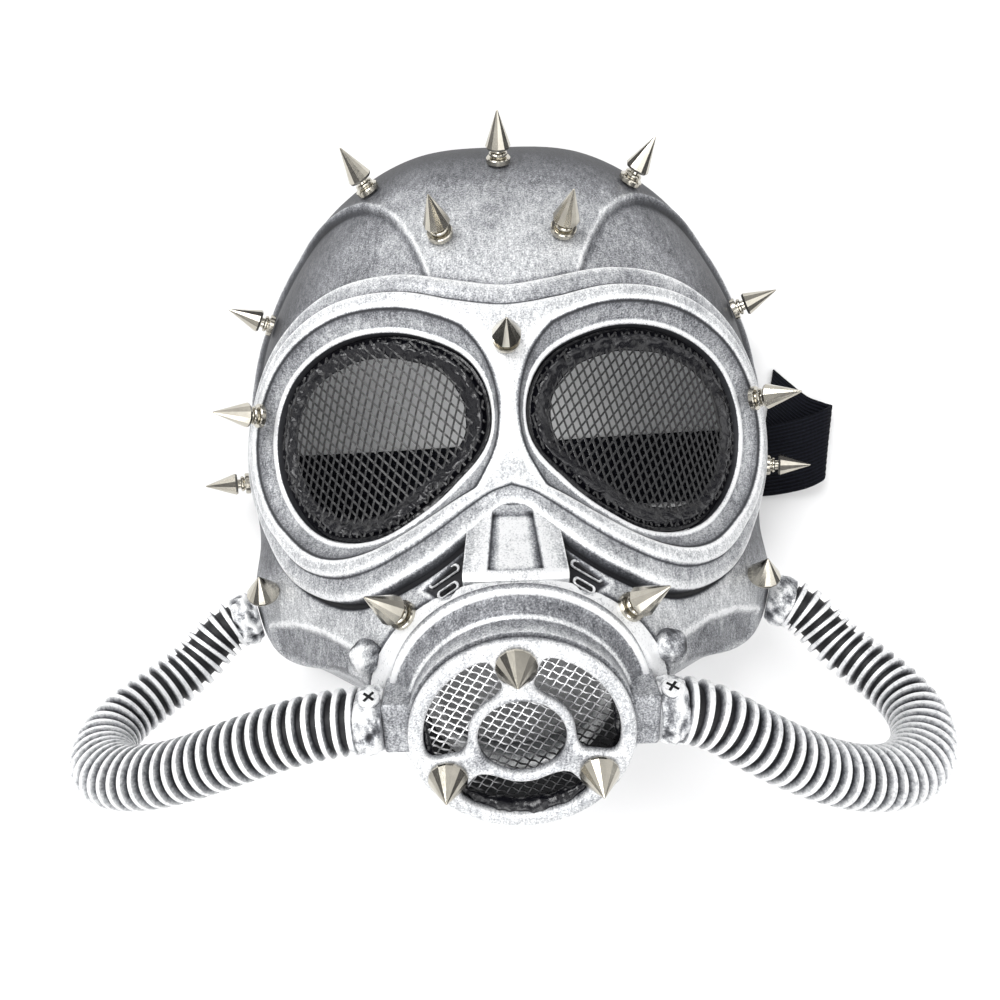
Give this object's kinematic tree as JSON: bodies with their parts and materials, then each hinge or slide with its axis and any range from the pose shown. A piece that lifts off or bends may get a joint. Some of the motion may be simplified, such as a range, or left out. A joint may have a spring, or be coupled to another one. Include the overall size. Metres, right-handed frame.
{
  "type": "gas mask style costume mask",
  "caption": "Hard moulded costume face mask with a goggle surround, wire mesh eyes, a round mouth canister, corrugated side hoses, metal spikes and an elastic head strap.",
  "frame": {"origin": "middle of the box of the rigid pieces and the strap, on the plane that the rim rests on", "axes": "+Z out of the face, up as the mask lies on its rim; +Y towards the forehead; +X to the right of the picture"},
  "size_m": [0.232, 0.2082, 0.1203],
  "materials": {
    "shell_silver": "black base dry-brushed with silver, brightest on raised edges, dark in the recesses",
    "black_wire": "black coated expanded metal mesh",
    "black_glue": "glossy black glue bead, uneven",
    "silver_wire": "expanded metal mesh, silver on dark",
    "hose_silver": "corrugated black hose, its crests brushed with silver white",
    "nickel": "polished nickel, faceted, slightly warm",
    "black_elastic": "ribbed woven elastic, blue black",
    "anchor_black": "plain black"
  },
  "bodies": {
    "root": {"face_shell": "shell_silver", "canister_body": "shell_silver", "canister_grille": "shell_silver", "hose_socket_canister_right": "shell_silver", "hose_socket_canister_left": "shell_silver", "hose_socket_jaw_right": "shell_silver", "hose_socket_jaw_left": "shell_silver", "hose_boss_right": "shell_silver", "hose_boss_left": "shell_silver", "eye_mesh_right": "black_wire", "eye_mesh_left": "black_wire", "eye_bead_right": "black_glue", "eye_bead_left": "black_glue", "canister_mesh": "silver_wire", "hose_right": "hose_silver", "hose_left": "hose_silver", "head_strap": "black_elastic", "strap_anchor": "anchor_black", "spike_top": "nickel", "spike_brow": "nickel", "stud_canister_top": "nickel", "stud_canister_left": "nickel", "stud_canister_right": "nickel", "spike_upper_right": "nickel", "spike_upper_left": "nickel", "spike_forehead_right": "nickel", "spike_forehead_left": "nickel", "spike_rim_high_right": "nickel", "spike_rim_high_left": "nickel", "spike_rim_mid_right": "nickel", "spike_rim_mid_left": "nickel", "spike_rim_low_right": "nickel", "spike_rim_low_left": "nickel", "spike_cheek_right": "nickel", "spike_cheek_left": "nickel", "stud_corner_right": "nickel", "stud_corner_left": "nickel", "hose_screw_right": "nickel", "hose_screw_left": "nickel"}
  },
  "joints": []
}
